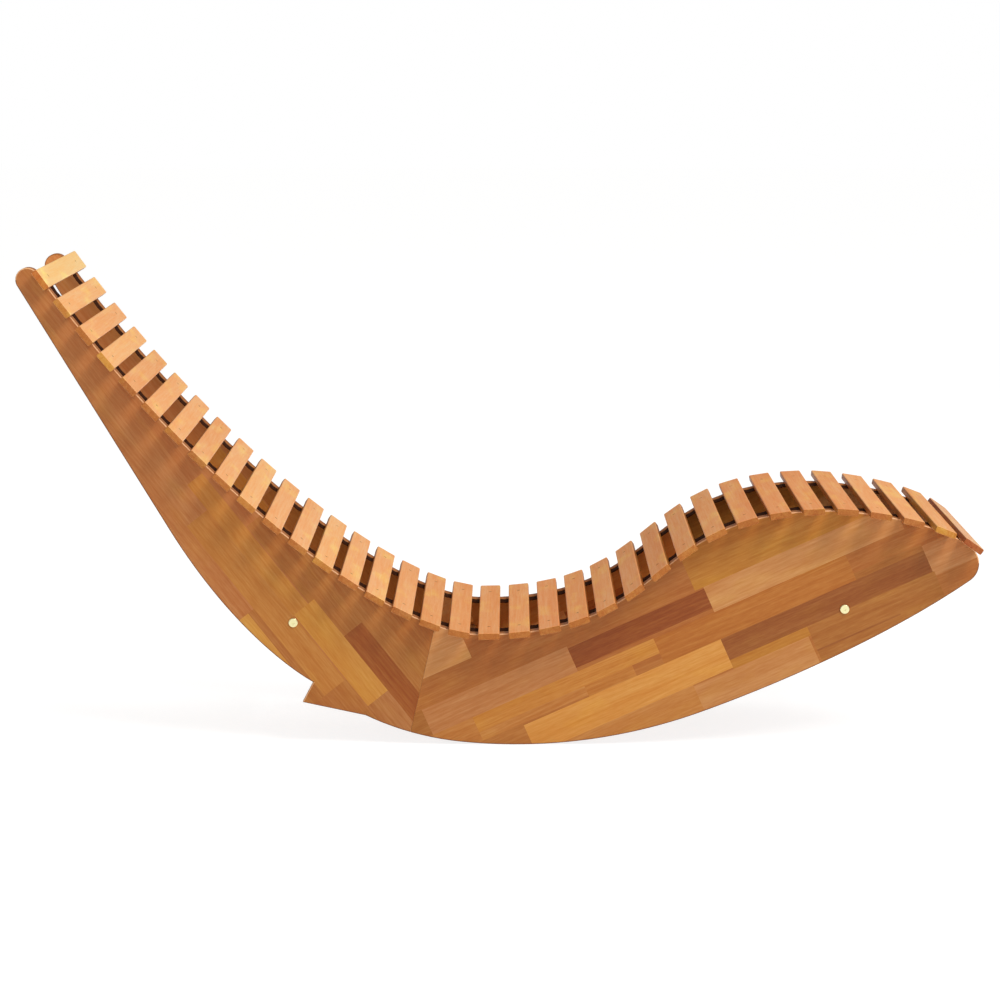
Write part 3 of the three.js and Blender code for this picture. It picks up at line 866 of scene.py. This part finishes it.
# Staples. Narrow ones of bright steel wire, shot up from below, one through each strap into each
# slat. The crown lies across the strap and holds it up to the slat's underside.
STAPLE_CROWN = 0.011
STAPLE_WIRE = 0.0012
STAPLE_HEIGHT = 0.0006
STAPLE_LEG = 0.0016
STAPLE_STEEL = 0xC4C2BA
leg_start = STAPLE_CROWN / 2 - STAPLE_WIRE
bpy.ops.object.select_all(action="DESELECT")
bpy.ops.mesh.primitive_cube_add(size=1)
staple_pattern = bpy.context.object
staple_pattern.dimensions = (STAPLE_WIRE, STAPLE_CROWN, STAPLE_HEIGHT)
bpy.ops.object.transform_apply(location=False, rotation=False, scale=True)
bpy.ops.object.mode_set(mode="EDIT")
for cut in (leg_start, -leg_start):
    bpy.ops.mesh.select_all(action="SELECT")
    bpy.ops.mesh.bisect(plane_co=(0, cut, 0), plane_no=(0, 1, 0))
bpy.ops.object.mode_set(mode="OBJECT")
pick_faces(
    staple_pattern,
    lambda face: face.normal.z > SQUARE_ON and abs(face.calc_center_median().y) > leg_start,
)
bpy.ops.mesh.extrude_region_move(TRANSFORM_OT_translate={"value": (0, 0, STAPLE_LEG)})
bpy.ops.object.mode_set(mode="OBJECT")
bevel_edges(
    staple_pattern,
    lambda a, b: max(a.z, b.z) < 0 and abs(a.y - b.y) < OVERRUN and abs(a.x - b.x) > OVERRUN,
    STAPLE_HEIGHT / 2,
    BROKEN_STEPS,
)
staple_steel = metal("staple_steel", STAPLE_STEEL, roughness=0.35, wear=0.08)
web_under = STRAP_GAP + STRAP_THICKNESS + STAPLE_HEIGHT / 2
for side in ("right", "left"):
    low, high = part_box(f"{side}_strap")
    under = Matrix.Translation((0, (low.y + high.y) / 2, -SLAT_THICKNESS - web_under))
    seats = [on_slat(seat, 0) @ under for seat in slat_seats.values()]
    staples = set_out(f"{side}_staples", staple_pattern, seats, staple_steel)
    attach(staples, "root")
bpy.data.objects.remove(staple_pattern)


# Studio. A white floor and white surroundings, a large soft lamp high up in front on the right, a
# weak one behind on the right, a weak broad one behind the camera, and even light from all round.
# The floor looks white to the camera and keeps a faint shadow.
FLOOR_SIZE = 60
FLOOR_GREY = (0.8, 0.8, 0.8, 1)
FLOOR_SEEN_GREY = (0.3, 0.3, 0.3, 1)
FLOOR_GLOW = 0.83
WHITE = (1, 1, 1, 1)
WARM_WHITE = (1, 0.99, 0.97, 1)
KEY_PLACE = Vector((3.6, -4.1, 5.7))
KEY_SIZE = 2.8
KEY_POWER = 340
SIDE_PLACE = Vector((4.1, 1.2, 3.6))
SIDE_SIZE = 2.0
SIDE_POWER = 40
FRONT_PLACE = Vector((-0.6, -8.2, 1.9))
FRONT_SIZE = 4.0
FRONT_POWER = 95
ROOM_LIGHT = 0.56
ROOM_GLOSS = 0.2
bpy.ops.object.select_all(action="DESELECT")
bpy.ops.mesh.primitive_plane_add(size=FLOOR_SIZE)
floor = bpy.context.object
floor.name = "floor"
floor_paint = bpy.data.materials.new("floor_paint")
floor_paint.use_nodes = True
tree = floor_paint.node_tree
tree.nodes.clear()
path = node(tree, "LightPath").outputs
rays = {0: path["Is Camera Ray"], 1: path["Is Glossy Ray"]}
seen = node(tree, "Math", rays, operation="MAXIMUM").outputs[0]
matt = node(tree, "BsdfDiffuse", {"Color": FLOOR_GREY}).outputs[0]
matt_seen = node(tree, "BsdfDiffuse", {"Color": FLOOR_SEEN_GREY}).outputs[0]
glow = node(tree, "Emission", {"Color": WHITE, "Strength": FLOOR_GLOW}).outputs[0]
lifted = node(tree, "AddShader", {0: matt_seen, 1: glow}).outputs[0]
either = node(tree, "MixShader", {0: seen, 1: matt, 2: lifted}).outputs[0]
node(tree, "OutputMaterial", {"Surface": either})
floor.data.materials.append(floor_paint)
floor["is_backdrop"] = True

world = bpy.data.worlds.new("studio")
bpy.context.scene.world = world
world.use_nodes = True
tree = world.node_tree
tree.nodes.clear()
path = node(tree, "LightPath").outputs
fill = node(tree, "Background", {"Color": WARM_WHITE, "Strength": ROOM_LIGHT}).outputs[0]
gloss = node(tree, "Background", {"Color": WHITE, "Strength": ROOM_GLOSS}).outputs[0]
white = node(tree, "Background", {"Color": WHITE, "Strength": 1}).outputs[0]
lit = node(tree, "MixShader", {0: path["Is Glossy Ray"], 1: fill, 2: gloss}).outputs[0]
either = node(tree, "MixShader", {0: path["Is Camera Ray"], 1: lit, 2: white}).outputs[0]
node(tree, "OutputWorld", {"Surface": either})


def lamp(name, place, size, power):
    """A square soft lamp that faces the middle of the lounge."""
    made = bpy.data.objects.new(name, bpy.data.lights.new(name, "AREA"))
    bpy.context.collection.objects.link(made)
    made.data.size = size
    made.data.energy = power
    made.location = place
    aim = (cad_low + cad_high) / 2 - place
    made.rotation_euler = aim.to_track_quat("-Z", "Y").to_euler()
    return made


lamp("key_lamp", KEY_PLACE, KEY_SIZE, KEY_POWER)
lamp("side_lamp", SIDE_PLACE, SIDE_SIZE, SIDE_POWER)
# The lamp behind the camera would lay a haze on the oiled panels, so it isn't reflected
lamp("front_lamp", FRONT_PLACE, FRONT_SIZE, FRONT_POWER).visible_glossy = False

bpy.context.scene.view_settings.view_transform = "Standard"
low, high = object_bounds()
